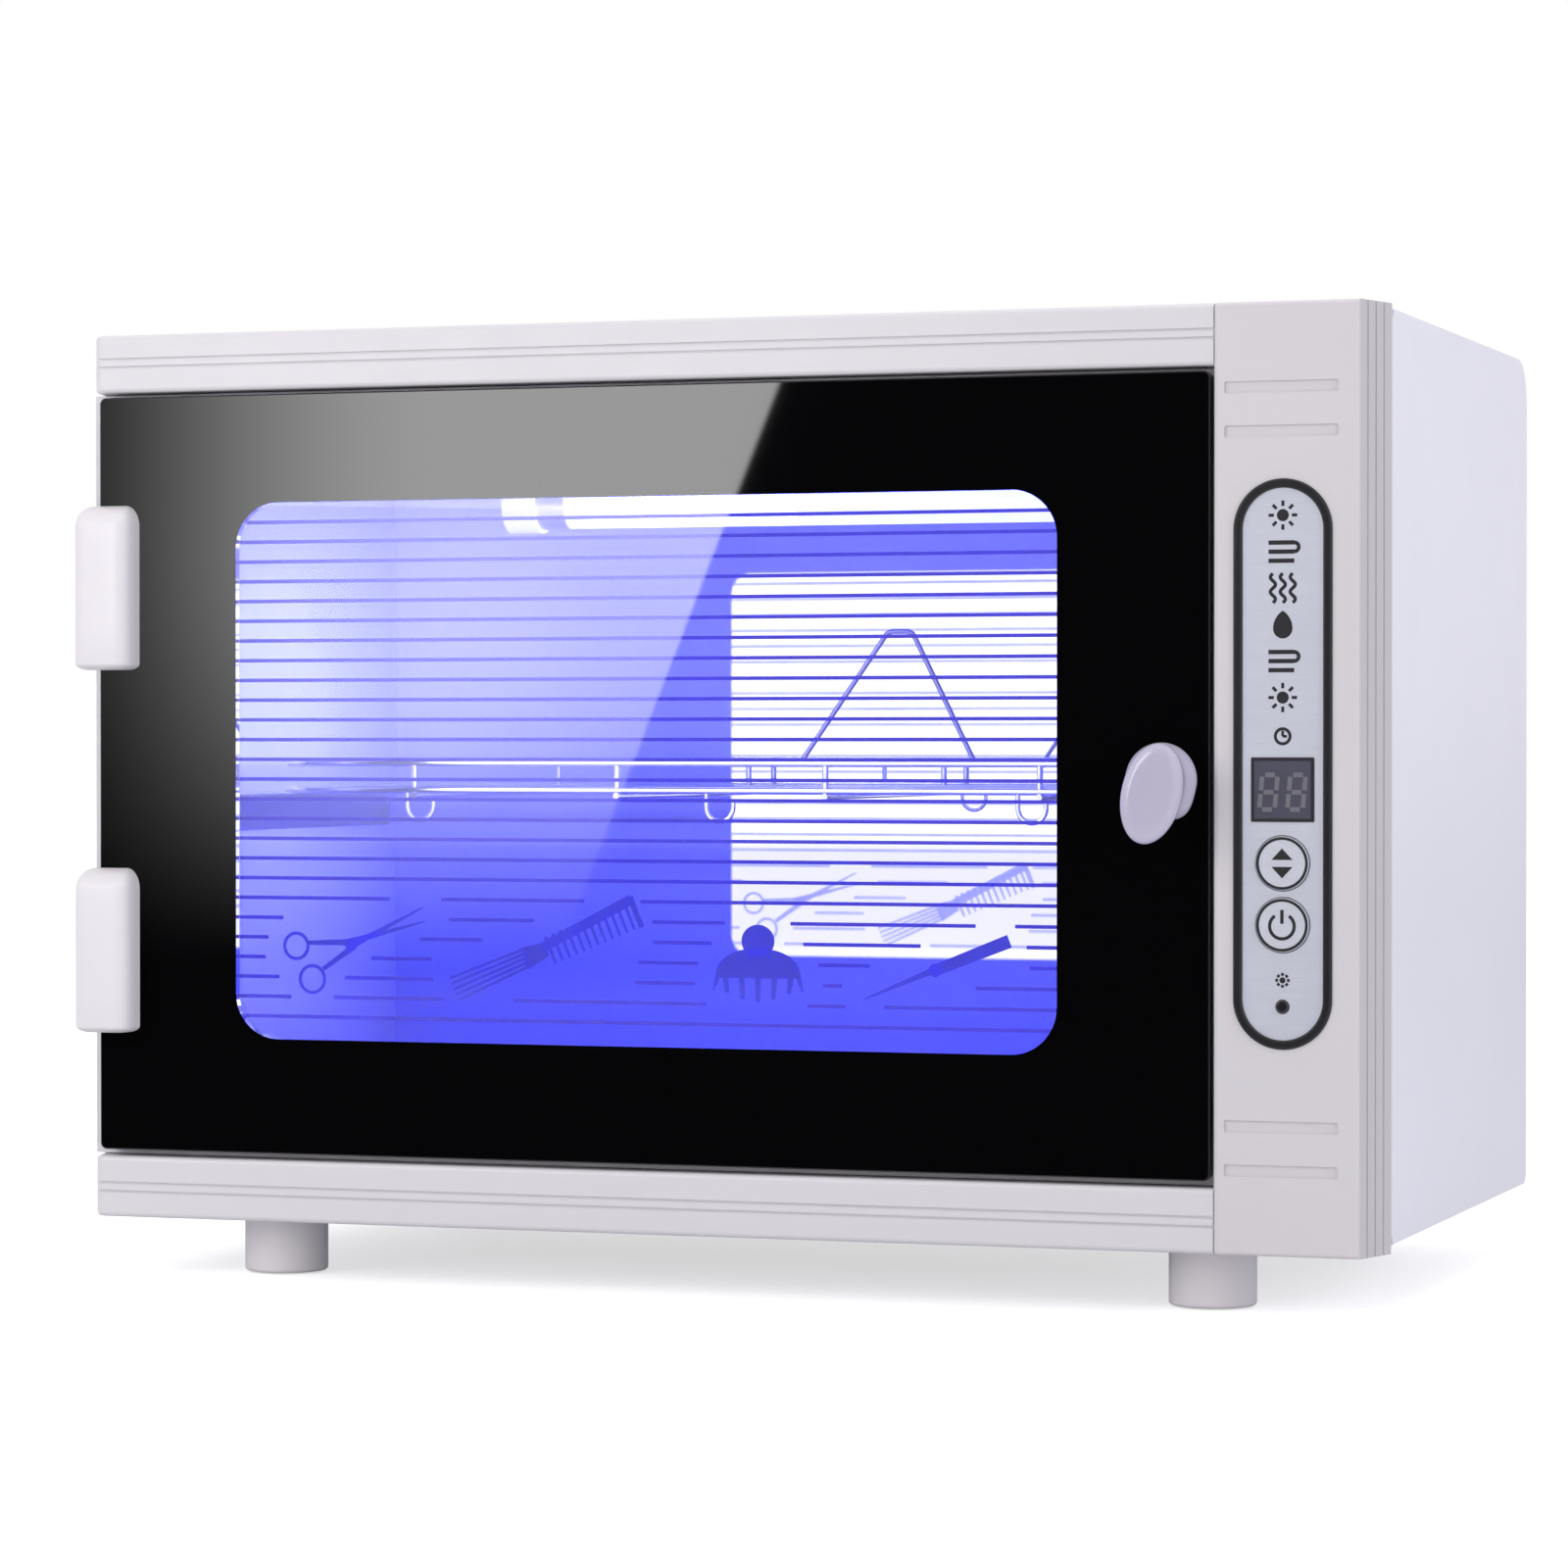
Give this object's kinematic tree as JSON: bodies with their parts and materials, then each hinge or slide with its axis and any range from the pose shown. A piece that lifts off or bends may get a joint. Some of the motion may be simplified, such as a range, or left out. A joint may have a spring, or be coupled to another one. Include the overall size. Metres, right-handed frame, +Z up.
{
  "type": "towel sterilizer cabinet",
  "caption": "Countertop towel sterilizer cabinet with a printed glass door on clamp hinges, a lamp-lit mirror chamber with wire rack, and a button panel.",
  "frame": {"origin": "on the floor, under the centre of the closed cabinet's bounding box", "axes": "+Z up, +X to the viewer's right along the front, the door faces -Y"},
  "size_m": [0.411, 0.252, 0.292],
  "materials": {
    "white_moulding": "satin moulded plastic, warm white",
    "white_enamel": "smooth baked enamel, cool white",
    "white_foot": "matt moulded plastic",
    "hinge_white": "glossy moulded plastic",
    "pearl_knob": "milky lavender-white moulded plastic",
    "door_glass": "clear tempered glass",
    "border_ink": "fired black print",
    "gasket_rubber": "soft light grey seal",
    "mirror_liner": "mirror-polished aluminium sheet",
    "galvanised_steel": "bright zinc-plated sheet",
    "hinge_steel": "plain nickel-plated steel",
    "screw_steel": "zinc-plated steel",
    "lamp_glass": "quartz tube, glowing violet-blue",
    "lamp_cap": "pressed aluminium end cap",
    "holder_white": "white lampholder",
    "rack_wire": "bright chromed wire",
    "ring_black": "glossy black plastic",
    "label_silver": "fine brushed anodised label",
    "button_silver": "silver-lacquered caps with dark line symbols",
    "display_smoke": "smoked acrylic",
    "display_body": "grey display block with unlit digits",
    "switch_black": "black plastic",
    "light_lens": "dark tinted light pipe",
    "board_green": "green lacquered board",
    "catch_white": "white catch block",
    "magnet_dark": "sintered magnet",
    "ballast_case": "white lacquered tin case",
    "inlet_black": "black inlet moulding",
    "pin_brass": "plated brass blades"
  },
  "bodies": {
    "cabinet": {"top_rail": "white_moulding", "bottom_rail": "white_moulding", "control_column": "white_moulding", "front_frame": "white_moulding", "left_side_panel": "white_enamel", "right_side_panel": "white_enamel", "top_back_cover": "white_enamel", "base_plate": "white_enamel", "foot_front_left": "white_foot", "foot_front_right": "white_foot", "foot_rear_left": "white_foot", "foot_rear_right": "white_foot", "door_gasket": "gasket_rubber", "chamber_walls": "mirror_liner", "chamber_back": "mirror_liner", "chamber_ceiling": "mirror_liner", "lamp_reflector": "mirror_liner", "chamber_bearers": "galvanised_steel", "rack_ledges": "galvanised_steel", "hinge_leaves": "hinge_steel", "leaf_screws": "screw_steel", "case_screws": "screw_steel", "foot_screws": "screw_steel", "foot_nuts": "screw_steel", "wiring_bay_screws": "screw_steel", "inlet_screws": "screw_steel", "uv_lamp_tube": "lamp_glass", "uv_lamp_caps": "lamp_cap", "lampholders": "holder_white", "panel_ring": "ring_black", "panel_label": "label_silver", "display_window": "display_smoke", "display_module": "display_body", "switch_bodies": "switch_black", "board_components": "switch_black", "power_light_lens": "light_lens", "control_board": "board_green", "catch_housing": "catch_white", "catch_magnet": "magnet_dark", "lamp_ballast": "ballast_case", "power_inlet": "inlet_black", "inlet_pins": "pin_brass"},
    "door": {"door_glass": "door_glass", "door_border_print": "border_ink", "upper_hinge_cap": "hinge_white", "lower_hinge_cap": "hinge_white", "hinge_pins": "screw_steel", "hinge_clamps": "hinge_steel", "clamp_screws": "screw_steel", "knob": "pearl_knob", "knob_screw": "screw_steel", "knob_washer": "hinge_steel", "strike_plate": "hinge_steel"},
    "select_key": {"select_button": "button_silver", "select_switch_plunger": "switch_black"},
    "power_key": {"power_button": "button_silver", "power_switch_plunger": "switch_black"},
    "rack": {"rack_tray": "rack_wire", "rack_hooks": "rack_wire", "rack_bail": "rack_wire"}
  },
  "joints": [
    {"name": "door_hinge", "type": "hinge", "parent": "cabinet", "child": "door", "pos_m": [-0.201, -0.1115, 0.155], "axis": [0, 0, -1], "range_deg": [0, 105]},
    {"name": "select_press", "type": "slide", "parent": "cabinet", "child": "select_key", "axis": [0, 1, 0], "range_m": [0, 0.0006], "stiffness_N_per_m": 2000, "springref_m": -0.0003},
    {"name": "power_press", "type": "slide", "parent": "cabinet", "child": "power_key", "axis": [0, 1, 0], "range_m": [0, 0.0006], "stiffness_N_per_m": 2000, "springref_m": -0.0003},
    {"name": "rack_slide", "type": "slide", "parent": "cabinet", "child": "rack", "axis": [0, -1, 0], "range_m": [0, 0.06]}
  ]
}
